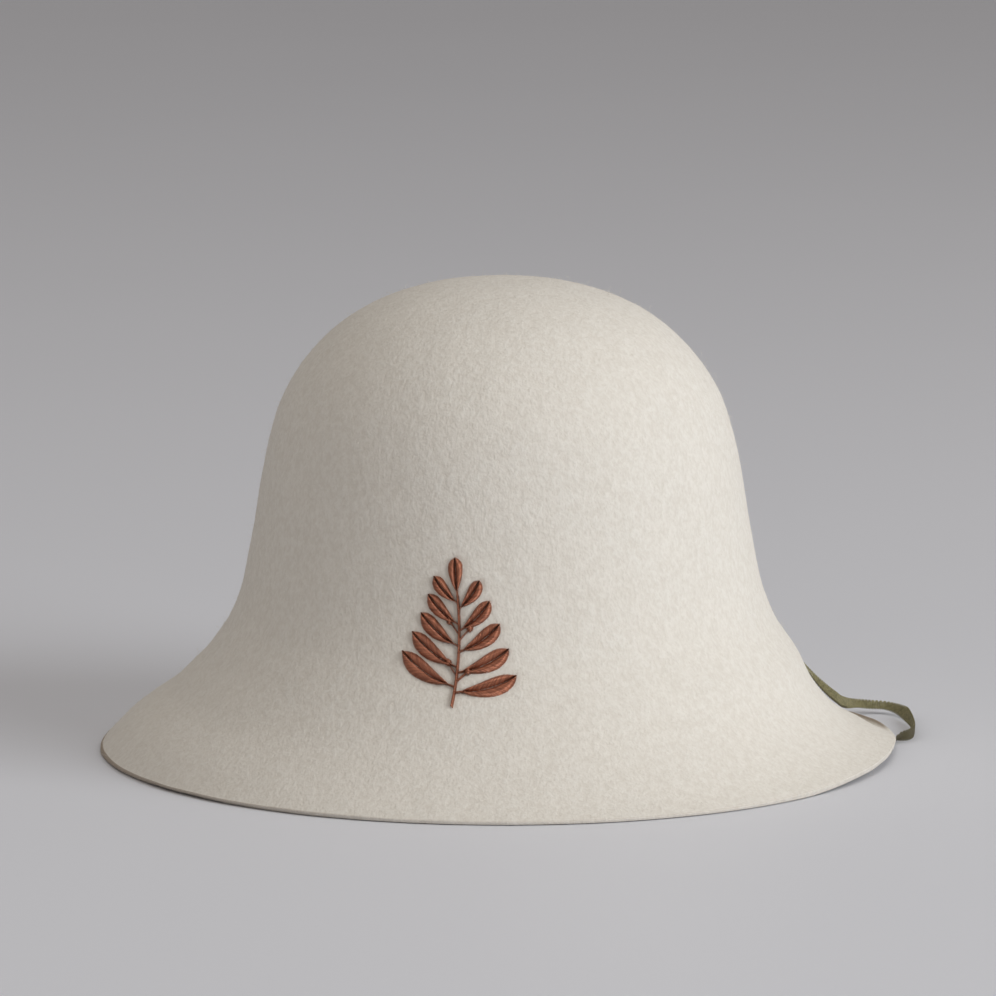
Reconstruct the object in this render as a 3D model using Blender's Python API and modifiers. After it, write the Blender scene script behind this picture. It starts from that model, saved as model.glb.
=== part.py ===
"""A sauna hat: one moulded wool felt cloche with a flared brim, and a tape loop to hang it by.

+Z is up, the front of the hat faces -Y and the hanging loop leaves the brim at +X.
The origin lies on the surface that the brim rests on, below the middle of the crown.
"""

import math
from typing import NamedTuple

import bmesh
import bpy
from mathutils import Vector

MM = 0.001

FELT_THICKNESS = 2.5 * MM
RINGS_DOWN_THE_BELL = 26
SEGMENTS_ROUND_THE_BELL = 64

TAPE_WIDTH = 5.0 * MM
TAPE_THICKNESS = 0.8 * MM
TAPE_STEP = 2.6 * MM
TAPE_GAP = 0.7 * MM

FLOOR_CUTTER_SIZE = 400 * MM


class Section(NamedTuple):
    """One level of the bell, outside, in mm. The left and right columns say how much higher
    the felt lies at the hat's sides than at its front and back."""
    radius: float
    height: float
    left: float
    right: float


BELL = (
    Section(0.0, 188.2, 0.0, 0.0),
    Section(20.0, 187.0, 0.0, 0.0),
    Section(38.0, 183.0, 0.0, 0.0),
    Section(54.0, 176.4, 0.0, 0.0),
    Section(67.0, 167.5, 0.0, 0.0),
    Section(78.0, 156.0, 0.0, 0.0),
    Section(86.5, 142.0, 0.0, 0.0),
    Section(92.0, 126.0, 0.0, 0.0),
    Section(95.8, 107.5, 0.0, 0.0),
    Section(99.0, 88.0, 0.0, 0.0),
    Section(103.2, 67.0, 0.0, 0.0),
    Section(108.2, 53.6, 0.0, 0.0),
    Section(113.0, 45.8, 0.0, 0.0),
    Section(118.5, 38.2, 0.2, 0.0),
    Section(124.0, 30.4, 2.4, -3.2),
    Section(132.0, 21.4, 3.6, -4.0),
    Section(141.0, 13.4, 5.2, -3.0),
    Section(150.0, 6.6, 5.0, -1.0),
    Section(159.0, 1.5, 1.2, 0.0),
)
FLARE_STARTS = 113.0


class Side(NamedTuple):
    """Where round the hat a change of shape is strongest, and how far it reaches, in degrees
    from +X towards +Y."""
    azimuth: float
    reach: float


LEFT_SIDE = Side(180.0, 95.0)
RIGHT_SIDE = Side(8.0, 85.0)


class EdgeChange(NamedTuple):
    """One stretch of the brim's edge: its lift in mm, and its reach from the axis as a share
    of the full radius that is added."""
    where: Side
    lift: float
    spread: float


EDGE = (
    EdgeChange(Side(-9.0, 50.0), 3.3, -0.012),
    EdgeChange(Side(23.0, 28.0), 0.0, -0.036),
    EdgeChange(Side(180.0, 60.0), 0.0, 0.005),
    EdgeChange(Side(-90.0, 60.0), 0.0, -0.006),
)


class OnFelt(NamedTuple):
    """A point of the loop against the felt: degrees round from +X, share of the way from the
    crown's middle to the edge, and the lean of the tape from upright in degrees."""
    azimuth: float
    share: float
    lean: float


class Free(NamedTuple):
    """A point of the loop off the felt: the middle of the tape in mm, and its lean."""
    x: float
    y: float
    z: float
    lean: float


LOOP_OUTSIDE = (
    OnFelt(17.0, 0.770, 90.0),
    OnFelt(14.5, 0.790, 90.0),
    OnFelt(12.4, 0.815, 84.0),
    OnFelt(11.4, 0.845, 64.0),
    OnFelt(12.0, 0.880, 47.0),
    OnFelt(14.6, 0.920, 38.0),
    OnFelt(18.6, 0.960, 38.0),
)
LOOP_ROUND = (
    Free(144.0, 63.0, 5.4, 46.0),
    Free(150.5, 68.0, 3.3, 57.0),
    Free(157.5, 67.5, 2.3, 59.0),
    Free(162.6, 59.5, 2.3, 50.0),
    Free(164.9, 46.0, 2.4, 38.0),
    Free(165.9, 31.0, 2.6, 30.0),
    Free(165.2, 18.5, 2.6, 32.0),
    Free(162.6, 10.0, 2.5, 38.0),
    Free(159.4, 6.6, 2.2, 52.0),
    Free(156.6, 5.8, 1.2, 82.0),
    Free(151.0, 5.8, 0.9, 90.0),
    Free(145.0, 6.4, 0.9, 90.0),
    Free(140.2, 7.4, 2.4, 90.0),
)
LOOP_INSIDE = (
    OnFelt(6.0, 0.855, 90.0),
    OnFelt(9.5, 0.825, 90.0),
    OnFelt(13.5, 0.795, 90.0),
    OnFelt(17.0, 0.770, 90.0),
)


def smooth_rows(rows, before, after, steps=12):
    """Rows of a smooth curve through the given rows, each column interpolated alike."""
    knots = [before, *rows, after]
    curve = []
    for first, start, end, last in zip(knots, knots[1:], knots[2:], knots[3:]):
        for step in range(steps):
            t = step / steps
            curve.append(tuple(
                b + t * (c - a + t * (2 * a - 5 * b + 4 * c - d + t * (3 * (b - c) + d - a))) / 2
                for a, b, c, d in zip(first, start, end, last)))
    curve.append(tuple(rows[-1]))
    return curve


class Walk:
    """A curve of rows that is read by the share of its length; the first columns are places."""

    def __init__(self, rows, place_columns):
        self.rows = rows
        self.lengths = [0.0]
        for start, end in zip(rows, rows[1:]):
            step = math.dist(start[:place_columns], end[:place_columns])
            self.lengths.append(self.lengths[-1] + step)
        self.length = self.lengths[-1]

    def at(self, share):
        """The row at this share of the curve's length."""
        target = min(max(share, 0.0), 1.0) * self.length
        index = 0
        while index < len(self.rows) - 2 and self.lengths[index + 1] < target:
            index += 1
        span = self.lengths[index + 1] - self.lengths[index]
        t = (target - self.lengths[index]) / span
        return tuple(a + t * (b - a) for a, b in zip(self.rows[index], self.rows[index + 1]))


def mirrored(section):
    """The same section on the other side of the axis."""
    return Section(-section.radius, *section[1:])


def beyond(last, previous):
    """A row as far past the last one as the previous one is before it."""
    return tuple(2 * a - b for a, b in zip(last, previous))


BELL_WALK = Walk(smooth_rows(BELL, mirrored(BELL[1]), beyond(BELL[-1], BELL[-2])), 2)


def ease(t):
    """A smooth step from 0 to 1."""
    t = min(max(t, 0.0), 1.0)
    return t * t * (3 - 2 * t)


def weight(side, azimuth):
    """1 in the middle of a side of the hat, falling smoothly to 0 where its reach ends."""
    turn = (azimuth - side.azimuth + 180) % 360 - 180
    return ease(1 - abs(turn) / side.reach)


def felt_point(azimuth, share):
    """A point on the outside of the felt, in metres."""
    radius, height, left, right = BELL_WALK.at(share)
    height += left * weight(LEFT_SIDE, azimuth) + right * weight(RIGHT_SIDE, azimuth)
    outwards = max(0.0, (radius - FLARE_STARTS) / (BELL[-1].radius - FLARE_STARTS))
    for change in EDGE:
        share_here = weight(change.where, azimuth) * outwards
        height += change.lift * share_here * outwards ** 2
        radius *= 1 + change.spread * share_here
    angle = math.radians(azimuth)
    return Vector((radius * math.cos(angle), radius * math.sin(angle), height)) * MM


def felt_normal(azimuth, share):
    """The direction straight out of the felt there."""
    round_step = felt_point(azimuth + 0.5, share) - felt_point(azimuth - 0.5, share)
    down_step = felt_point(azimuth, share + 0.004) - felt_point(azimuth, share - 0.004)
    return down_step.cross(round_step).normalized()


def collection(name):
    """A new collection in the scene."""
    made = bpy.data.collections.new(name)
    bpy.context.scene.collection.children.link(made)
    return made


def material(name, color, roughness):
    """A plain non-metal material."""
    made = bpy.data.materials.new(name)
    made.use_nodes = True
    shader = made.node_tree.nodes["Principled BSDF"]
    shader.inputs["Base Color"].default_value = (*color, 1.0)
    shader.inputs["Roughness"].default_value = roughness
    shader.inputs["Metallic"].default_value = 0.0
    return made


def sheet(name, across, along, place, where, finish):
    """An open sheet: a grid whose points are put in place by their shares across and along."""
    shape = bmesh.new()
    bmesh.ops.create_grid(shape, x_segments=across, y_segments=along, size=0.5)
    for vertex in shape.verts:
        vertex.co = place(vertex.co.x + 0.5, vertex.co.y + 0.5)
    bmesh.ops.remove_doubles(shape, verts=shape.verts, dist=0.01 * MM)
    mesh = bpy.data.meshes.new(name)
    shape.to_mesh(mesh)
    shape.free()
    mesh.materials.append(finish)
    made = bpy.data.objects.new(name, mesh)
    where.objects.link(made)
    return made


def thicken(sheet_object, thickness, offset):
    """Give an open sheet its thickness."""
    wall = sheet_object.modifiers.new("wall", "SOLIDIFY")
    wall.thickness = thickness
    wall.offset = offset
    wall.use_even_offset = True


def floor_cutter(where):
    """A block whose top is the surface that the hat rests on."""
    shape = bmesh.new()
    bmesh.ops.create_cube(shape, size=FLOOR_CUTTER_SIZE)
    bmesh.ops.translate(shape, verts=shape.verts, vec=(0, 0, -FLOOR_CUTTER_SIZE / 2))
    mesh = bpy.data.meshes.new("floor_cutter")
    shape.to_mesh(mesh)
    shape.free()
    made = bpy.data.objects.new("floor_cutter", mesh)
    made.hide_render = True
    made.display_type = "WIRE"
    where.objects.link(made)
    return made


def felt_body(where, cutters, finish):
    """Crown and brim in one felt wall, pressed flat where the brim's edge rests."""
    bell = sheet("felt_body", SEGMENTS_ROUND_THE_BELL, RINGS_DOWN_THE_BELL,
                 lambda round_share, up_share: felt_point(360 * round_share, 1 - up_share),
                 where, finish)
    bell.data.shade_smooth()
    thicken(bell, FELT_THICKNESS, -1)
    rest = bell.modifiers.new("rest", "BOOLEAN")
    rest.operation = "DIFFERENCE"
    rest.solver = "EXACT"
    rest.object = floor_cutter(cutters)
    return bell


def against_felt(row, outside):
    """A point of the loop's route on one face of the felt, clear of it: x, y, z, the three
    parts of the direction out of the felt, and the lean."""
    lean = math.radians(row.lean)
    clear = (TAPE_WIDTH * math.cos(lean) + TAPE_THICKNESS * math.sin(lean)) / 2 + TAPE_GAP
    if not outside:
        clear = -clear - FELT_THICKNESS
    normal = felt_normal(row.azimuth, row.share)
    return (*(felt_point(row.azimuth, row.share) + normal * clear), *normal, row.lean)


def loop_route():
    """The middle of the tape from its sewn end outside to its sewn end inside."""
    rows = [against_felt(row, outside=True) for row in LOOP_OUTSIDE]
    rows += [(row.x * MM, row.y * MM, row.z * MM, 0, 0, 1, row.lean) for row in LOOP_ROUND]
    rows += [against_felt(row, outside=False) for row in LOOP_INSIDE]
    return Walk(smooth_rows(rows, beyond(rows[0], rows[1]), beyond(rows[-1], rows[-2])), 3)


def tape_point(route, width_share, length_share):
    """A point of the flat tape, which leans from upright towards the outside of the loop."""
    x, y, z, *upright, lean = route.at(length_share)
    run = Vector(route.at(length_share + 0.004)[:3]) - Vector(route.at(length_share - 0.004)[:3])
    outwards = Vector(upright).cross(run).normalized()
    upwards = run.cross(outwards).normalized()
    tilt = math.radians(lean)
    across = upwards * math.cos(tilt) + outwards * math.sin(tilt)
    return Vector((x, y, z)) + across * TAPE_WIDTH * (width_share - 0.5)


def hanging_loop(where, finish):
    """The loop of flat tape, with both ends against the felt at the waist."""
    route = loop_route()
    lengths = round(route.length / TAPE_STEP)
    tape = sheet("hanging_loop", 1, lengths,
                 lambda width_share, length_share: tape_point(route, width_share, length_share),
                 where, finish)
    thicken(tape, TAPE_THICKNESS, 0)
    return tape


def build():
    """Make the whole hat."""
    for old in list(bpy.data.objects):
        bpy.data.objects.remove(old)
    hat = collection("sauna_hat")
    cutters = collection("cutters")
    felt_body(hat, cutters, material("wool_felt", (0.73, 0.70, 0.65), 0.95))
    hanging_loop(hat, material("olive_tape", (0.20, 0.19, 0.11), 0.85))


build()
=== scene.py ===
"""The looks of a sauna hat: a moulded wool felt cloche with a raw edge, a leaf sprig in satin
stitch on its front, and a loop of woven tape to hang it by.

+Z is up and the front faces -Y. Values are in mm where a comment or docstring says so, and
otherwise in metres, which MM turns them into. A share is a place on the way down the felt, from
0 at the crown's middle to 1 at the brim's edge.
"""

import math
from typing import NamedTuple

import bmesh
import bpy
import numpy as np
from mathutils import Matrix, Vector, noise


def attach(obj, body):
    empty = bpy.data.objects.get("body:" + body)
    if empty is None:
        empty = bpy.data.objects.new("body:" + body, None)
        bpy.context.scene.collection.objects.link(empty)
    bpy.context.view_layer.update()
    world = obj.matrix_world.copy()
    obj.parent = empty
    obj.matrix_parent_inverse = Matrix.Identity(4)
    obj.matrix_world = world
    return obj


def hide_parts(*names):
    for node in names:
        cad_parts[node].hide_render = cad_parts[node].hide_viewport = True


MM = 0.001

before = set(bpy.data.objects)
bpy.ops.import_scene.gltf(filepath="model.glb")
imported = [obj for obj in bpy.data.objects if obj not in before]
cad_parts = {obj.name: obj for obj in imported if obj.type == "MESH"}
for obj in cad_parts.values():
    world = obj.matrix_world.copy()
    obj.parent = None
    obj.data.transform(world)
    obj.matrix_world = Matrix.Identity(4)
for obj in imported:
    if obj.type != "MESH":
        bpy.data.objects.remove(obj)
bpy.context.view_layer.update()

# The felt's wall and its mesh. The rows' steps down the felt are in mm.
FELT_THICKNESS = 2.5 * MM
COARSE_TURN = 1.2
FINE_TURN = 0.5
FINE_TURN_FROM = -116.0
FINE_TURN_TO = -84.0
CROWN_ROW = 2.0
SPRIG_ROW = 1.05
BRIM_ROW = 1.5
EDGE_ROW = 0.6
EDGE_ROWS_FROM = 0.975
INNER_ROWS = 56
SAME_PLACE = 0.0005 * MM

# The steps that find a surface's directions, in degrees and shares, and the first share.
TURN_PROBE = 0.5
SHARE_PROBE = 0.004
FIRST_PROBED = 0.006

SWELL_SIZE = 17.0 * MM
SWELL_HEIGHT = 0.20 * MM
LUMP_SIZE = 4.6 * MM
LUMP_HEIGHT = 0.09 * MM

# The cut edge. Its tints are from 0 to 1: the cut's own darker colour all round, and painted
# contact shade at its lower corner. Its strength is the share of the dark colour at 1.
CUT_CORNER = 0.55 * MM
CUT_STEPS = 4
CUT_FLAT_ROWS = 3
CUT_WAVER = 0.22 * MM
CUT_WAVER_LENGTH = 16.0 * MM
CUT_WAVER_FROM = 0.93
CUT_LIFT = 0.28 * MM
CUT_TINT = 0.14
CORNER_SHADE = 0.9
CORNER_SHADE_REACH = 0.36
CUT_AND_SHADE_STRENGTH = 0.9

# The edge's upturned lip at the back right, with painted shade on the lip, and its sag at the
# left.
LIP_HEIGHT = 2.8 * MM
LIP_FROM = 0.986
LIP_SHADE_FROM = 0.9905
LIP_SHADE_TO = 0.9955
LIP_SHADE_RISE = 2.5
LIP_DIP = 1.8 * MM
LIP_DIP_FROM = 0.955
SAG_DEPTH = 0.95 * MM
SAG_FROM = 0.94

# The tape. Its lower selvedge gets painted shade from SHADED_FROM to SHADED_TO along it.
TAPE_WIDTH = 5.0 * MM
TAPE_THICKNESS = 0.8 * MM
TAPE_GAP = 0.5 * MM
SHADED_SELVEDGE = 1.7 * MM
SHADED_FROM = 22.0 * MM
SHADED_TO = 66.0 * MM
SHADED_FADE = 6.0 * MM
# The share of painted shade on the tape where its mesh says.
TAPE_SHADE_STRENGTH = 0.92
CORD_POINTS = 90
ROUTE_POINTS = 160

# The tape's weave. Ovals are half a yarn's width and height, the warp's in pitches and yarn
# thicknesses, the weft's in picks and yarn thicknesses.
PICK_STEP = 0.68 * MM
WARP_YARNS = 10
YARN_THICKNESS = 0.30 * MM
SELVEDGE_YARNS = 4.8
TURNING_YARNS = 3
YARN_RISE = 0.5
WARP_OVAL = (0.60, 0.52)
WARP_SIDES = 6
WEFT_OVAL = (0.46, 0.60)
WEFT_SIDES = 5
WEFT_MEETS = 0.44
WEFT_THINS = 0.15

# The sprig on the felt. DESIGN_LEFT, the dents' reach and the bare rim are in mm.
DESIGN_AZIMUTH = -90.0
DESIGN_LEFT = 18.0
DESIGN_SHARE = 0.688
DESIGN_REACH = 0.125
STITCH_DENT = 0.30 * MM
STITCH_DENT_REACH = 1.9
BARE_BY_STITCHES = 0.3
BARE_BY_TAPE = 9.5 * MM

# Half the size of the place where the sprig's stitches are looked for, in mm.
DESIGN_HALF_WIDTH = 30.0
DESIGN_HALF_HEIGHT = 38.0

THREAD_STEP = 0.46 * MM
THREAD_THICKNESS = 0.50 * MM
THREAD_POINTS = 9
THREAD_SIDES = 5
SATIN_ARCH = 1.15 * MM
SATIN_SINK = 0.16 * MM
STITCH_LENGTHS = (0.96, 1.04)
STITCH_HEIGHTS = (0.92, 1.06)

# The leaf sprig's drawing, in mm. Leaves and berries stand at numbered points of the stem.
STEM_FOOT = (-1.5, -29.0)
STEM_HEADING = 3.0
STEM_LENGTH = 44.5
STEM_BEND = -16.0
STEM_POINTS = 60
STEM_WIDTH = 1.15
STEM_SLANT = 64.0
LEAF_PAIRS = 5
FIRST_LEAF = 8
LEAF_SPACING = 11
LEAF_STAGGER = 3
LEAF_BEND = 26.0
LEAF_POINTS = 26
LEAF_SLANT = 38.0
LEAF_WIDEST = 0.78
LEAF_FULLNESS = 0.85
LEAF_VEIN = 0.22
SHORTEST_STITCH = 0.12
STALK_SHARE = 0.13
STALK_WIDTH = 0.75
STALK_POINTS = 4
TIP_LEAF_TURN = 2.0
TIP_LEAF_LENGTH = 14.5
TIP_LEAF_WIDTH = 5.4
TIP_LEAF_BEND = 8.0
BERRY_PAIRS = (0, 2)
BERRY_ABOVE = 6
BERRY_HEADING = 38.0
BERRY_STALK = 5.2
BERRY_STALK_WIDTH = 0.6
BERRY_STALK_POINTS = 8
BERRY_SIZE = 2.7
BERRY_OFFSET = 1.2
BERRY_ROWS = 9
BERRY_REACH = 0.46
BERRY_SLANT = 0.12

# The bar tacks that hold the tape. The first four, their rows and stitches, are in mm.
TACK_HALF = 1.6
TACK_ROW = 0.4
TACK_ACROSS = 0.35
TACK_ALONG = 5.6
TACK_THICKNESS = 0.42 * MM
TACK_ARCH = 0.15 * MM
TACK_SINK = 1.2 * MM
TACK_AZIMUTH = 17.0
TACK_SHARE = 0.776

# A loose fibre: a bent curve, in shares of its length, tipped and spun by chance in radians.
FIBRE_ROOT = -0.04
FIBRE_MIDDLE = 0.6
FIBRE_SWING = (0.1, -0.12)
FIBRE_DROOP = 0.55
FIBRE_TIP = 0.7
FIBRE_SPIN = 6.283
FIBRE_STEPS = 3
FIBRE_SIDES = 3
FIBRE_CLEAR = 0.02 * MM

CAMERA_PLACE = (-0.0016, -2.650, 0.5175)
CAMERA_PITCH = 81.05
CAMERA_LENS = 244.0
CAMERA_REACH = 100.0
SENSOR_WIDTH = 36.0

FLOOR_HALF = 30.0

WOOL_WARM = (0.800, 0.762, 0.700)
WOOL_COOL = (0.785, 0.762, 0.712)
# The mottle's darker tone, which also lays painted shade in the felt's pits.
WOOL_MOTTLE_AND_PIT_SHADE = (0.722, 0.683, 0.622)
# The cut's own brown, which also serves as painted shade at the left cut, the lower corner and
# the lip.
WOOL_CUT_AND_SHADE = (0.31, 0.245, 0.185)
WOOL_HAIR = (0.84, 0.80, 0.74)
COPPER = (0.560, 0.220, 0.125)
COPPER_DEEP = (0.190, 0.062, 0.034)
OLIVE = (0.320, 0.292, 0.145)
OLIVE_DEEP = (0.105, 0.092, 0.036)
# Painted shade for the tape's outer face and lower selvedge.
OLIVE_PAINTED_SHADE = (0.058, 0.046, 0.018)
FLOOR_LIGHT = (0.760, 0.775, 0.830)
FLOOR_DEEP = (0.745, 0.760, 0.815)
ROOM_NEAR = (0.220, 0.198, 0.178)
ROOM_FAR = (0.330, 0.318, 0.312)

# The sockets of a Mix node that mixes colours.
MIX_SHARE = 0
MIX_FIRST = 6
MIX_SECOND = 7
MIX_RESULT = 2


class Section(NamedTuple):
    """One level of the bell, outside, in mm. The left and right columns say how much higher
    the felt lies at the hat's sides than at its front and back."""
    radius: float
    height: float
    left: float = 0.0
    right: float = 0.0


BELL = (
    Section(0.0, 188.2),
    Section(20.0, 187.0),
    Section(38.0, 183.0),
    Section(54.0, 176.4),
    Section(67.0, 167.5),
    Section(78.0, 156.0),
    Section(86.5, 142.0),
    Section(92.0, 126.0),
    Section(95.8, 107.5),
    Section(99.0, 88.0),
    Section(103.2, 67.0),
    Section(108.2, 53.6),
    Section(113.0, 45.8),
    Section(118.5, 38.2, 0.2),
    Section(124.0, 30.4, 2.4, -3.2),
    Section(132.0, 21.4, 3.6, -4.0),
    Section(141.0, 13.4, 5.2, -3.0),
    Section(150.0, 6.6, 5.0, -1.0),
    Section(159.0, 1.5, 1.2),
)
FLARE_STARTS = 113.0


class Side(NamedTuple):
    """Where round the hat a change of shape is strongest, and how far it reaches, in degrees
    from +X towards +Y."""
    azimuth: float
    reach: float


LEFT_SIDE = Side(180.0, 95.0)
RIGHT_SIDE = Side(8.0, 85.0)
LIP_SIDE = Side(14.0, 17.0)
# Where the painted shade on the lip lies.
LIP_SHADE_SIDE = Side(16.5, 15.5)


class Slant(NamedTuple):
    """One stretch of the cut edge and how far its lower corner stands out, in mm."""
    where: Side
    out: float


CUT_SLANTS = (
    Slant(Side(183.0, 32.0), 3.8),
    Slant(Side(226.0, 36.0), -0.8),
    Slant(Side(-82.0, 60.0), 1.1),
)


class EdgeChange(NamedTuple):
    """One stretch of the brim's edge: its lift in mm, and its reach from the axis as a share
    of the full radius that is added."""
    where: Side
    lift: float
    spread: float


EDGE = (
    EdgeChange(Side(-9.0, 50.0), 3.3, -0.012),
    EdgeChange(Side(23.0, 28.0), 0.0, -0.036),
    EdgeChange(Side(180.0, 60.0), 0.0, 0.005),
    EdgeChange(Side(-90.0, 60.0), 0.0, -0.006),
)


class OnFelt(NamedTuple):
    """A point of the loop against the felt: degrees round from +X, share of the way from the
    crown's middle to the edge, and the lean of the tape from upright in degrees."""
    azimuth: float
    share: float
    lean: float


class Free(NamedTuple):
    """A point of the loop off the felt: the middle of the tape in mm, and its lean."""
    x: float
    y: float
    z: float
    lean: float


LOOP_OUTSIDE = (
    OnFelt(17.0, 0.770, 90.0),
    OnFelt(14.5, 0.790, 90.0),
    OnFelt(12.4, 0.815, 84.0),
    OnFelt(11.4, 0.845, 64.0),
    OnFelt(12.0, 0.880, 47.0),
    OnFelt(14.6, 0.920, 38.0),
    OnFelt(18.6, 0.960, 38.0),
)
LOOP_ROUND = (
    Free(144.0, 63.0, 5.4, 46.0),
    Free(150.5, 68.0, 3.9, 50.0),
    Free(157.5, 67.5, 3.4, 58.0),
    Free(162.8, 59.8, 3.1, 50.0),
    Free(165.2, 47.0, 2.8, 18.0),
    Free(166.2, 31.5, 2.65, 4.0),
    Free(165.8, 18.5, 2.65, 4.0),
    Free(163.3, 10.0, 2.65, 10.0),
    Free(159.8, 6.6, 2.5, 29.0),
    Free(156.6, 5.8, 1.3, 71.0),
    Free(151.0, 5.8, 0.9, 90.0),
    Free(145.0, 6.4, 0.9, 90.0),
    Free(140.2, 7.4, 2.4, 90.0),
)
LOOP_INSIDE = (
    OnFelt(6.0, 0.855, 90.0),
    OnFelt(9.5, 0.825, 90.0),
    OnFelt(13.5, 0.795, 90.0),
    OnFelt(17.0, 0.770, 90.0),
)


class Wire:
    """A value that comes out of a node. Arithmetic on it adds Math nodes to its tree."""

    def __init__(self, maker, node, socket):
        self.maker = maker
        self.node = node
        self.socket = socket

    def other(self, name):
        """Another value of the same node."""
        return Wire(self.maker, self.node, self.node.outputs[name])

    def __add__(self, value):
        return self.maker.math("ADD", self, value)

    def __radd__(self, value):
        return self.maker.math("ADD", value, self)

    def __sub__(self, value):
        return self.maker.math("SUBTRACT", self, value)

    def __rsub__(self, value):
        return self.maker.math("SUBTRACT", value, self)

    def __mul__(self, value):
        return self.maker.math("MULTIPLY", self, value)

    def __rmul__(self, value):
        return self.maker.math("MULTIPLY", value, self)

    def __truediv__(self, value):
        return self.maker.math("DIVIDE", self, value)

    def __rtruediv__(self, value):
        return self.maker.math("DIVIDE", value, self)

    def __pow__(self, value):
        return self.maker.math("POWER", self, value)

    def __mod__(self, value):
        return self.maker.math("MODULO", self, value)

    def __abs__(self):
        return self.maker.math("ABSOLUTE", self)


class Nodes:
    """Builds one node tree."""

    def __init__(self, tree):
        self.tree = tree

    def add(self, kind, settings=None, values=None, out=0):
        """A new node: its settings, then a value or a wire for each of its inputs."""
        node = self.tree.nodes.new(kind)
        for name, setting in (settings or {}).items():
            setattr(node, name, setting)
        for name, value in (values or {}).items():
            self.give(node.inputs[name], value)
        return Wire(self, node, node.outputs[out])

    def give(self, socket, value):
        """Give an input a value, or lead a wire to it."""
        if isinstance(value, Wire):
            self.tree.links.new(value.socket, socket)
        else:
            socket.default_value = value

    def math(self, operation, *values):
        """One Math node."""
        return self.add("ShaderNodeMath", {"operation": operation}, dict(enumerate(values)))

    def size(self, vector):
        """The length of a vector."""
        return self.add("ShaderNodeVectorMath", {"operation": "LENGTH"}, {0: vector}, "Value")

    def place(self, x, y, z):
        """A vector from its three parts."""
        return self.add("ShaderNodeCombineXYZ", {}, {"X": x, "Y": y, "Z": z})

    def parts(self, vector):
        """The three parts of a vector."""
        split = self.add("ShaderNodeSeparateXYZ", {}, {0: vector})
        return split, split.other("Y"), split.other("Z")

    def between(self, share, first, second):
        """A colour between two."""
        values = {MIX_SHARE: share}
        for socket, color in ((MIX_FIRST, first), (MIX_SECOND, second)):
            values[socket] = (*color, 1.0) if isinstance(color, tuple) else color
        return self.add("ShaderNodeMix", {"data_type": "RGBA"}, values, out=MIX_RESULT)


class Finish(Nodes):
    """A material of one Principled shader."""

    def __init__(self, name, roughness, **constants):
        self.material = bpy.data.materials.new(name)
        self.material.use_nodes = True
        super().__init__(self.material.node_tree)
        self.shader = self.tree.nodes["Principled BSDF"]
        self.set("Roughness", roughness)
        for socket, value in constants.items():
            self.set(socket.replace("_", " "), value)

    def set(self, socket, value):
        """Give the shader's socket a value or a wire."""
        self.give(self.shader.inputs[socket], value)

    def where(self):
        """Each point's place on the object."""
        return self.add("ShaderNodeTexCoord", out="Object")

    def attribute(self, name):
        """A number that the mesh holds for each of its points."""
        return self.add("ShaderNodeAttribute", {"attribute_name": name}, out="Fac")

    def noise(self, where, scale, detail=2.0, roughness=0.5):
        """Soft noise from 0 to 1."""
        values = {"Vector": where, "Scale": scale, "Detail": detail, "Roughness": roughness}
        return self.add("ShaderNodeTexNoise", {}, values)

    def spread(self, value, low, high):
        """A value whose range from low to high is spread out from 0 to 1."""
        values = {"Value": value, "From Min": low, "From Max": high}
        return self.add("ShaderNodeMapRange", {}, values)

    def bump(self, height, distance, strength=1.0):
        """The shader's normal, tipped by a height that is from 0 to 1."""
        values = {"Height": height, "Distance": distance, "Strength": strength}
        self.set("Normal", self.add("ShaderNodeBump", {}, values))


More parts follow.
